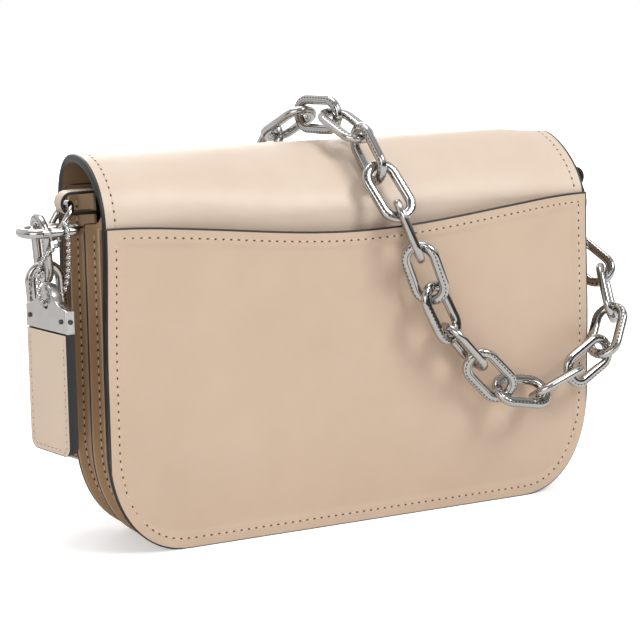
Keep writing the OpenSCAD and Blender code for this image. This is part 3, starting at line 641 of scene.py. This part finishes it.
def pocketGrid(s):
    x = -half * np.cos(np.pi * np.arange(s["cols"]) / (s["cols"] - 1))
    grid = []
    for v in bothWays(s["rows"]):
        low = cornerZ(x)
        z = low + (pocketTop(x) - low) * v
        grid.append(np.stack([x * (1 - narrow(z) / half), pocketFace(x, z, s), z], -1))
    return np.array(grid)


pocket = makeSheet("backPocket", pocketGrid(pocketSet), bagSet["pocketThick"],
                   [backLeather, liningLeather, edgePaint], flip=True, lip=(3, 3, 4))
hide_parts("back_pocket")
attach(pocket, "bag")


# Flat panels and gussets

def panelSheet(name, y, top, mats, flip, rows=17):
    edge = outline(0, top)
    cols = len(edge) // 2 + 1
    grid = []
    for v in bothWays(rows):
        row = []
        for k in range(cols):
            a, b = edge[k], edge[-1 - k]
            row.append((a[0] + (b[0] - a[0]) * v, y, a[1]))
        grid.append(row)
    return makeSheet(name, grid, bagSet["panel"], mats, flip=flip)


def seamSheet(name, cross, tops, flip):
    rows = [[(x, y, z) for x, z in outline(inset, top)] for (inset, y), top in zip(cross, tops)]
    # The gussets' faces and rims take the leather darkened by painted shade
    mats = [shadedGussetLeather, liningLeather, shadedGussetLeather]
    return makeSheet(name, rows, bagSet["gusset"], mats, flip=flip, belly=0.3)


gussetSet = {"fold": 1.6, "foldFrom": 0.3, "bow": 1.7, "steps": 10, "crown": 7.5, "rise": 2.2}


# Cross-section of a gusset from one panel to the other: flange, rounded fold, bowed web, fold, flange
def gussetCross(y0, y1, s):
    seam, r = bagSet["seam"], s["fold"]
    sign = 1 if y1 > y0 else -1
    depth = abs(y1 - y0)
    line = [(i, 0.0) for i in np.linspace(0, seam - r, 5)]
    line += [(seam - r + r * math.sin(a), r - r * math.cos(a))
             for a in np.linspace(s["foldFrom"], math.pi / 2, 4)]
    for v in np.linspace(0, 1, s["steps"])[1:-1]:
        line.append((seam + s["bow"] * math.sin(math.pi * v), r + (depth - 2 * r) * v))
    line += [(seam - r + r * math.sin(a), depth - r + r * math.cos(a))
             for a in np.linspace(math.pi / 2, s["foldFrom"], 4)]
    line += [(i, depth) for i in np.linspace(seam - r, 0, 5)]
    return [(i, y0 + sign * d) for i, d in line]


def makeGussets(s):
    g, low = bagSet["gusset"], bagSet["dividerTop"]
    rear = gussetCross(dividerY + g, backInY - g, s)
    share = [(y - rear[0][1]) / (rear[-1][1] - rear[0][1]) for _, y in rear]
    tops = [low + s["crown"] * math.sin(math.pi * v) for v in share]
    rearSheet = seamSheet("rearGusset", rear, tops, False)
    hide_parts("rear_gusset")
    front = gussetCross(-dividerY - g, frontInY + g, s)
    share = [abs(y - front[0][1]) / abs(front[-1][1] - front[0][1]) for _, y in front]
    tops = [low + (bagSet["frontTop"] - low) * float(ease(v * s["rise"])) for v in share]
    frontSheet = seamSheet("frontGusset", front, tops, True)
    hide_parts("front_gusset")
    for sheet in (rearSheet, frontSheet):
        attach(sheet, "bag")


makeGussets(gussetSet)
# The divider's faces take the leather darkened by painted shade
divider = panelSheet("divider", dividerY, bagSet["dividerTop"], [shadedGussetLeather, shadedGussetLeather, edgePaint],
                     False)
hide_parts("divider")
frontPanel = panelSheet("frontPanel", frontY, bagSet["frontPanelTop"],
                        [backLeather, liningLeather, edgePaint], True)
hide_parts("front_panel")
for sheet in (divider, frontPanel):
    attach(sheet, "bag")
print("panels and gussets made")


# Geometry Nodes trees for the things that repeat: links, stitches and balls
def startTree(name, inputs):
    tree = bpy.data.node_groups.new(name, "GeometryNodeTree")
    tree.interface.new_socket("Geometry", in_out="INPUT", socket_type="NodeSocketGeometry")
    sockets = {}
    for label in inputs:
        kind = "NodeSocketMaterial" if label.startswith("Material") else "NodeSocketFloat"
        sockets[label] = tree.interface.new_socket(label, in_out="INPUT", socket_type=kind).identifier
    tree.interface.new_socket("Geometry", in_out="OUTPUT", socket_type="NodeSocketGeometry")
    return tree, sockets, tree.nodes.new("NodeGroupInput").outputs


def vectorData(tree, label):
    node = add(tree, "GeometryNodeInputNamedAttribute", {"data_type": "FLOAT_VECTOR"}, Name=label)
    return node.outputs["Attribute"]


# Puts a shape on every point, its long side along one stored direction and its second side along another
def placeShape(tree, points, shape, first, second, axes):
    aim = add(tree, "FunctionNodeAxesToRotation", {"primary_axis": axes[0], "secondary_axis": axes[1]},
              Primary_Axis=vectorData(tree, first), Secondary_Axis=vectorData(tree, second))
    place = add(tree, "GeometryNodeInstanceOnPoints", Points=points, Instance=shape, Rotation=aim.outputs[0])
    return add(tree, "GeometryNodeRealizeInstances", Geometry=place.outputs[0]).outputs[0]


# Points with direction attributes, run through a tree and kept as one plain mesh; the sizes are in millimetres
def runTree(name, points, attributes, made, sizes, mats):
    tree, sockets = made
    mesh = bpy.data.meshes.new(name + "Points")
    mesh.from_pydata([list(np.array(p, float) * mm) for p in points], [], [])
    for label, rows in attributes.items():
        data = mesh.attributes.new(label, "FLOAT_VECTOR", "POINT")
        data.data.foreach_set("vector", np.array(rows, float).ravel())
    holder = newObject(name + "Points", mesh)
    modifier = holder.modifiers.new("build", "NODES")
    modifier.node_group = tree
    for label, value in sizes.items():
        modifier[sockets[label]] = value * mm
    for label, mat in mats.items():
        modifier[sockets[label]] = mat
    graph = bpy.context.evaluated_depsgraph_get()
    result = bpy.data.meshes.new_from_object(holder.evaluated_get(graph), preserve_all_data_layers=True,
                                             depsgraph=graph)
    holder.modifiers.clear()
    bpy.data.objects.remove(holder)
    result.name = name
    return result


# Chain links: the corners stay a little under half the width, which leaves a tiny straight at each end
linkSet = {"inside": 23.25, "width": 19.2, "bar": 4.9, "thick": 3.9, "bevel": 1.65, "straight": 0.01,
           "cornerSteps": 12, "bevelSteps": 3, "crease": 34}


def makeLinkTree(s):
    tree, sockets, given = startTree("chainLinks", [
        "Path length", "Path width", "Path corner", "Bar width", "Bar thickness", "Bevel", "Material"])

    def roundedBox(width, height, corner, steps):
        box = add(tree, "GeometryNodeCurvePrimitiveQuadrilateral", Width=given[width], Height=given[height])
        return add(tree, "GeometryNodeFilletCurve", {"mode": "POLY"}, Curve=box.outputs[0], Count=steps,
                   Radius=given[corner]).outputs[0]

    path = roundedBox("Path width", "Path length", "Path corner", s["cornerSteps"])
    flat = add(tree, "GeometryNodeSetCurveNormal", {"mode": "Z_UP"}, Curve=path)
    section = roundedBox("Bar width", "Bar thickness", "Bevel", s["bevelSteps"])
    sweep = add(tree, "GeometryNodeCurveToMesh", Curve=flat.outputs[0], Profile_Curve=section)
    place = add(tree, "GeometryNodeInputPosition").outputs[0]
    keep = add(tree, "GeometryNodeStoreNamedAttribute", {"data_type": "FLOAT_VECTOR", "domain": "POINT"},
               Geometry=sweep.outputs[0], Name="linkPlace", Value=place)
    links = placeShape(tree, given["Geometry"], keep.outputs[0], "along", "across", "YX")
    last = add(tree, "GeometryNodeSetMaterial", Geometry=links, Material=given["Material"])
    add(tree, "NodeGroupOutput", None, last.outputs[0])
    return tree, sockets


def nodePoints(node):
    return np.array([(node.matrix_world @ v.co)[:] for v in node.data.vertices]) / mm


# A link's centre and directions, from the middle and the spread of its node's points
def linkAxes(node):
    points = nodePoints(node)
    centre = points.mean(0)
    axes = np.linalg.eigh(np.cov((points - centre).T))[1]
    low, high = ((points - centre) @ axes).min(0), ((points - centre) @ axes).max(0)
    return centre + axes @ ((low + high) / 2), axes[:, 2], axes[:, 1]


linkTree = makeLinkTree(linkSet)


def makeChain(s, name, names, body):
    centres, along, across = zip(*(linkAxes(nodes[n]) for n in names))
    wide = s["width"] - s["bar"]
    sizes = {"Path length": s["inside"] + s["bar"], "Path width": wide,
             "Path corner": wide / 2 - s["straight"], "Bar width": s["bar"], "Bar thickness": s["thick"],
             "Bevel": s["bevel"]}
    mesh = runTree(name, centres, {"along": along, "across": across}, linkTree, sizes,
                   {"Material": chainSilver})
    finishMesh(mesh, s["crease"])
    chain = newObject(name, mesh)
    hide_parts(*names)
    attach(chain, body)
    print(name, len(mesh.polygons), "faces")


linkNames = {"side_chain": ["side_link_%d" % i for i in range(1, 4)],
             "flap": ["front_link_%d" % i for i in range(1, 17)],
             "back_chain": ["back_link_%d" % i for i in range(1, 13)]}
for bodyName, names in linkNames.items():
    makeChain(linkSet, bodyName.replace("_chain", "") + "Chain", names, bodyName)


# Stitches: a thread laid between two dark patches of painted shade that stand for the holes, along lines on
# the leather
stitchSet = {"pitch": 3.85, "sizes": {
    "Thread length": 2.7, "Thread width": 0.78, "Thread height": 0.4,
    "Hole length": 1.3, "Hole width": 0.9, "Hole height": 0.12}}


def makeStitchTree(s):
    labels = ["Half pitch", *s["sizes"], "Material thread", "Material hole"]
    tree, sockets, given = startTree("stitches", labels)
    ball = add(tree, "GeometryNodeMeshUVSphere", Segments=7, Rings=4, Radius=0.5).outputs[0]
    both = add(tree, "GeometryNodeJoinGeometry")
    # The hole part is a flat patch that carries the painted shade of a stitch hole
    for part, ahead in (("Thread", 0.0), ("Hole", given["Half pitch"])):
        sides = (given["%s %s" % (part, side)] for side in ("length", "width", "height"))
        scale = add(tree, "ShaderNodeCombineXYZ", None, *sides)
        shift = add(tree, "ShaderNodeCombineXYZ", None, ahead)
        shape = add(tree, "GeometryNodeTransform", Geometry=ball, Translation=shift.outputs[0],
                    Scale=scale.outputs[0])
        painted = add(tree, "GeometryNodeSetMaterial", Geometry=shape.outputs[0],
                      Material=given["Material " + part.lower()])
        tree.links.new(painted.outputs[0], both.inputs[0])
    real = placeShape(tree, given["Geometry"], both.outputs[0], "along", "out", "XZ")
    add(tree, "NodeGroupOutput", None, real)
    return tree, sockets


stitchTree = makeStitchTree(stitchSet)


# Evenly spaced points on a line, with its direction and the leather's normal
def spread(line, normals, pitch):
    line, normals = np.array(line, float), np.array(normals, float)
    run = np.concatenate([[0], np.cumsum(np.linalg.norm(np.diff(line, axis=0), axis=1))])
    count = max(2, int(round(run[-1] / pitch)))
    at = (np.arange(count) + 0.5) * run[-1] / count

    def pick(where, rows):
        return np.stack([np.interp(where, run, rows[:, k]) for k in range(3)], -1)

    return pick(at, line), pick(at + 0.5, line) - pick(at - 0.5, line), pick(at, normals)


def makeStitches(s, name, lines, thread):
    runs = [spread(line, normals, s["pitch"]) for line, normals in lines]
    points, along, out = (np.concatenate([r[k] for r in runs]) for k in range(3))
    out = out / np.linalg.norm(out, axis=1, keepdims=True)
    sizes = {"Half pitch": s["pitch"] / 2, **s["sizes"]}
    mats = {"Material thread": thread, "Material hole": stitchHoleShade}
    mesh = runTree(name, points, {"along": along, "out": out}, stitchTree, sizes, mats)
    finishMesh(mesh)
    stitches = newObject(name, mesh)
    print(name, len(points), "stitches")
    return stitches


# A line on the pocket's face, with the face's normals from its slope
def onPocket(line):
    x, z, d = line[:, 0], line[:, 1], 0.2
    dx = (pocketFace(x + d, z) - pocketFace(x - d, z)) / (2 * d)
    dz = (pocketFace(x, z + d) - pocketFace(x, z - d)) / (2 * d)
    points = np.stack([x * (1 - narrow(z) / half), pocketFace(x, z), z], -1)
    return points, np.stack([-dx, np.ones_like(x), -dz], -1)


# How far each seam lies inside the edge and below the top
seamSet = {"panelIn": 4.8, "panelDown": 5, "panelSide": 8, "gussetIn": 3.6, "gussetDown": 4,
           "pocketSide": 5, "pocketDown": 4.2, "pocketEndDown": 6}


def pocketSeams(s):
    x = np.linspace(half - s["pocketSide"], -half + s["pocketSide"], 120)
    top = np.stack([x, pocketTop(x) - s["pocketDown"]], -1)
    return [onPocket(top), onPocket(outline(s["panelIn"], bagSet["backHeight"] - s["pocketEndDown"]))]


def flatStitches(line, y, facing):
    line = np.array(line, float)
    points = np.stack([line[:, 0], np.full(len(line), y), line[:, 1]], -1)
    return points, np.tile((0.0, facing, 0.0), (len(line), 1))


def flatSeams(s):
    cut, top = bagSet["gusset"], bagSet["frontPanelTop"] - s["panelDown"]
    across = np.linspace(half - s["panelSide"], s["panelSide"] - half, 60)
    lines = [flatStitches(outline(s["panelIn"], top), frontY, -1.0),
             flatStitches([(x, top) for x in across], frontY, -1.0)]
    for y, facing, end in ((dividerY + cut, 1.0, "dividerTop"), (-dividerY - cut, -1.0, "dividerTop"),
                           (backInY - cut, -1.0, "dividerTop"), (frontInY + cut, 1.0, "frontTop")):
        lines.append(flatStitches(outline(s["gussetIn"], bagSet[end] - s["gussetDown"]), y, facing))
    return lines


bagStitches = makeStitches(stitchSet, "bagStitches", pocketSeams(seamSet) + flatSeams(seamSet), threadTan)
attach(bagStitches, "bag")


# A line on the skin at a distance from its side edge, over all rows from the straight back to the front
def skinEdge(grid, side, inset, first):
    normal = -sheetNormals(grid)
    line, out = [], []
    for i in range(first, grid.shape[0]):
        x = grid[i, :, 0]
        at = side * (abs(x[0]) - inset)
        line.append([np.interp(at, x, grid[i, :, k]) for k in range(3)])
        out.append([np.interp(at, x, normal[i, :, k]) for k in range(3)])
    return np.array(line), np.array(out)


flapSeamSet = {"inset": 5.4, "cornerIn": 0.4, "steps": 24, "startAngle": 0.02}


# Seams of the flap: along both sides over the crest, then down the front and round its corners
def flapSeams(grid, s):
    first = skinSet["backRows"] - 1
    rows = grid[: first + skinSet["overRows"]]
    lines = [skinEdge(rows, side, s["inset"], first) for side in (1, -1)]
    low, r = bagSet["backHeight"] - bagSet["flapDrop"], bagSet["flapCorner"]
    near = r - s["inset"]
    right = [(half - s["inset"] - float(narrow(z)), z)
             for z in np.linspace(bagSet["backHeight"] - 1, low + r, s["steps"])]
    right += [(half - r + near * math.cos(a) - s["cornerIn"], low + r - near * math.sin(a))
              for a in np.linspace(s["startAngle"], math.pi / 2, s["steps"])]
    path = np.array(right + [(-x, z) for x, z in reversed(right)])
    share = (bagSet["backHeight"] - path[:, 1]) / bagSet["flapDrop"]
    y = drop(share)[:, 0] + frontWave(path[:, 0], path[:, 1])
    slope = 2 * bagSet["flapTuck"] * share / bagSet["flapDrop"]
    points = np.stack([path[:, 0], y, path[:, 1]], -1)
    lines.append((points, np.stack([np.zeros_like(y), -np.ones_like(y), -slope], -1)))
    return lines


flapSewing = makeStitches(stitchSet, "flapStitches", flapSeams(skinGrid, flapSeamSet), threadTan)
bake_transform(flapSewing)
print("stitches made")


# Hang tag: a thick slab with painted sides and cream stitches, hanging from its metal cap
tagSet = {
    "at": (152.6, 13.4, 108.0), "turn": 13, "width": 33, "height": 56, "thick": 5, "corner": 5, "puff": 0.12,
    "faceIn": 0.15, "sideIn": 0.45, "lowIn": 0.1, "topGap": 0.5, "stitchInset": 2.3, "stitchTop": -4,
    "stitchLow": 0.2, "stitchIn": 0.02,
}
tagStitchSet = {"pitch": 3.2, "sizes": {
    **stitchSet["sizes"], "Thread length": 2.1, "Thread width": 0.6, "Hole length": 0.7, "Hole width": 0.5}}


def tagPlace(s, points):
    c, d = math.cos(math.radians(s["turn"])), math.sin(math.radians(s["turn"]))
    x, y, z = np.moveaxis(np.asarray(points, float), -1, 0)
    return np.stack([x * c - y * d, x * d + y * c, z], -1) + s["at"]


# Half the width of the tag at the height z below its cap
def tagHalf(s, z, inset=0.0):
    r = s["corner"] - inset
    h = np.clip(-s["height"] + s["corner"] - np.asarray(z, float), 0, r)
    return s["width"] / 2 - s["sideIn"] - s["corner"] + np.sqrt(np.clip(r * r - h * h, 0, None))


def makeTag(s):
    z = -s["height"] + s["lowIn"] + (s["height"] - s["lowIn"] - s["topGap"]) * bothWays(41)
    cross = 2 * bothWays(19) - 1
    face = s["thick"] / 2 - s["faceIn"]
    grid = [[(face + s["puff"] * (1 - v ** 4), float(tagHalf(s, row)) * v, row) for v in cross] for row in z]
    tag = makeSheet("hangTag", tagPlace(s, grid), s["thick"] - 2 * s["faceIn"],
                    [tagLeather, tagLeather, edgePaint], rimSteps=8, belly=0.06, lip=(2, 0, 1))
    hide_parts("tag_leather")
    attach(tag, "tag")
    turn, lines = math.radians(s["turn"]), []
    heights = np.linspace(s["stitchTop"], -s["height"] + s["stitchInset"] + s["stitchLow"], 30)
    side = [(tagHalf(s, v, s["stitchInset"]), v) for v in heights]
    path = side + [(-y, v) for y, v in reversed(side)]
    for facing in (1, -1):
        points = [(facing * (s["thick"] / 2 - s["stitchIn"]), y, v) for y, v in path]
        out = np.tile((facing * math.cos(turn), facing * math.sin(turn), 0.0), (len(path), 1))
        lines.append((tagPlace(s, points), out))
    sewing = makeStitches(tagStitchSet, "tagStitches", lines, threadCream)
    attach(sewing, "tag")


makeTag(tagSet)


# The tag's cap: a pressed plate with rounded edges and a hole for the ball chain
capSet = {
    "thick": 5.0, "round": 0.75, "roundSteps": 3, "hole": 1.8, "holeZ": 11.6, "crease": 40,
    "shape": [(16.5, 0), (16.5, 10.2), (15.4, 11.0), (12.6, 11.5), (9.8, 12.5), (7.4, 14.2), (5.7, 16.6),
              (4.2, 19.0), (2.3, 20.6), (0, 21.0)],
}


def makeCap(s):
    right = s["shape"]
    outer = right + [(-y, z) for y, z in reversed(right[:-1])]
    hole = [(s["hole"] * math.cos(a), s["holeZ"] + s["hole"] * math.sin(a))
            for a in np.linspace(0, 2 * math.pi, 24, endpoint=False)]
    data = bpy.data.curves.new("tagCapShape", "CURVE")
    data.dimensions, data.fill_mode = "2D", "BOTH"
    data.extrude, data.offset = s["thick"] / 2 - s["round"], -s["round"]
    data.bevel_depth, data.bevel_resolution = s["round"], s["roundSteps"]
    for loop in (outer, hole):
        line = data.splines.new("POLY")
        line.points.add(len(loop) - 1)
        line.points.foreach_set("co", [c for y, z in loop for c in (y, z, 0, 1)])
        line.use_cyclic_u = True
    shape = newObject("tagCapShape", data)
    graph = bpy.context.evaluated_depsgraph_get()
    mesh = bpy.data.meshes.new_from_object(shape.evaluated_get(graph))
    bpy.data.objects.remove(shape)
    mesh.name = "tagCap"
    local = np.array([v.co[:] for v in mesh.vertices])
    placed = tagPlace(tagSet, np.stack([local[:, 2], local[:, 0], local[:, 1]], -1)) * mm
    mesh.vertices.foreach_set("co", placed.ravel())
    mesh.materials.clear()
    mesh.materials.append(capSteel)
    finishMesh(mesh, s["crease"])
    cap = newObject("tagCap", mesh)
    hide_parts("tag_cap")
    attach(cap, "tag")


makeCap(capSet)


# Ball chain: balls and short wires between them, round the same guide points as in the part's source
ballSet = {
    "ringX": 147.6, "ringY": 3.5, "ringZ": 151, "gateY": 7.9, "gateLength": 8, "ringBar": 4.4,
    "ball": 2.4, "gap": 0.4, "face": 2.5, "steps": 14, "space": 1.25, "look": 2.6, "wire": 0.9,
    "wirePast": 1.1, "crease": 50,
}


def ballLine(s):
    near = np.array([s["ringX"] - s["gateLength"] / 2, s["ringY"] + s["gateY"], s["ringZ"]])
    over = s["ringBar"] / 2 + s["ball"] / 2 + 1.5 * s["gap"]
    hole = np.array(tagSet["at"]) + (0, 0, capSet["holeZ"])
    turn = math.radians(tagSet["turn"])
    through = np.array([math.cos(turn), math.sin(turn), 0])
    d, fall = s["ball"], near[2] - hole[2]
    guides = [hole, hole + through * (s["face"] + d) + (0, 0, d), hole + (d * 2, 0, fall * 0.26),
              hole + (d * 1.8, -d * 0.4, fall * 0.48), hole + (0, -fall * 0.13, fall * 0.66),
              near + (d, -over, -over * 1.5), near + (0, -over, 0), near + (0, 0, over), near + (0, over, 0),
              near + (0, over, -fall * 0.4), near + (d * 0.4, d, -fall * 0.75),
              hole - through * (s["face"] + d) + (0, 0, d * 0.8)]
    n, line = len(guides), []
    for i in range(n):
        a, b, c, e = (guides[k % n] for k in (i - 1, i, i + 1, i + 2))
        for k in range(s["steps"]):
            t = k / s["steps"]
            line.append(0.5 * (2 * b + (c - a) * t + (2 * a - 5 * b + 4 * c - e) * t * t
                               + (3 * b - a - 3 * c + e) * t ** 3))
    return np.array(line + line[:1])


def makeBallTree():
    tree, sockets, given = startTree("ballChain", ["Ball radius", "Wire radius", "Wire length", "Material"])
    ball = add(tree, "GeometryNodeMeshUVSphere", Segments=14, Rings=8, Radius=given["Ball radius"])
    wire = add(tree, "GeometryNodeMeshCylinder", Vertices=8, Radius=given["Wire radius"],
               Depth=given["Wire length"])
    both = add(tree, "GeometryNodeJoinGeometry")
    for part in (ball, wire):
        tree.links.new(part.outputs[0], both.inputs[0])
    real = placeShape(tree, given["Geometry"], both.outputs[0], "along", "across", "ZX")
    last = add(tree, "GeometryNodeSetMaterial", Geometry=real, Material=given["Material"])
    add(tree, "NodeGroupOutput", None, last.outputs[0])
    return tree, sockets


def makeBallChain(s):
    line = ballLine(s)
    space = s["ball"] * s["space"]
    points, along, _ = spread(line, np.zeros_like(line), space)
    across = np.cross(along, (0.3, 0.2, 0.93))  # square to the chain
    sizes = {"Ball radius": s["look"] / 2, "Wire radius": s["wire"] / 2, "Wire length": space * s["wirePast"]}
    mesh = runTree("ballChain", points, {"along": along, "across": across}, makeBallTree(), sizes,
                   {"Material": silver})
    finishMesh(mesh, s["crease"])
    balls = newObject("ballChain", mesh)
    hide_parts("ball_chain")
    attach(balls, "tag")
    print("ball chain", len(points), "balls")


makeBallChain(ballSet)


# Leather loops: a strap that runs out from the gusset, round the connector and back
loopSet = {"webX": 124.0, "webGap": 0.2, "thick": 1.3}


def makeLoop(s, name, side):
    points = nodePoints(nodes["loop_left" if side > 0 else "loop_right"])
    low, high = points.min(0), points.max(0)
    r, z, y = (high[2] - low[2]) / 2, (high[2] + low[2]) / 2, (high[1] + low[1]) / 2
    outX = np.abs(points[:, 0]).max() - r
    inX = s["webX"] + s["webGap"]
    run = [(v, r) for v in np.linspace(inX, outX, 8)]
    run += [(outX + r * math.sin(a), r * math.cos(a)) for a in np.linspace(0, math.pi, 25)[1:-1]]
    run += [(v, -r) for v in np.linspace(outX, inX, 8)]
    cross = (2 * bothWays(9) - 1) * (high[1] - low[1]) / 2
    grid = [[(side * x, y + c, z + h) for c in cross] for x, h in run]
    # The strap's outer face is the tag's leather; its inner face and its rim are black
    loop = makeSheet(name, grid, s["thick"], [tagLeather, edgePaint, edgePaint], flip=side > 0, belly=0.2,
                     lip=(0, 0, 1))
    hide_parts("loop_left" if side > 0 else "loop_right")
    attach(loop, "bag")


makeLoop(loopSet, "leftLoop", 1)
makeLoop(loopSet, "rightLoop", -1)
print("tag and loops made")


# Materials of the solids, also of those that a piece replaces, by how their names start; the rest is silver
# The rivets take the painted shade of their holes
nodeMats = {"magnet": silverDull, "tag_cap": silverDull, "tag_rivets": rivetHoleShade, "zip_tape": tapeCloth,
            "loop": tagLeather, "tag_leather": tagLeather}
for name, node in nodes.items():
    mat = next((mat for start, mat in nodeMats.items() if name.startswith(start)), silver)
    node.data.materials.clear()
    node.data.materials.append(mat)
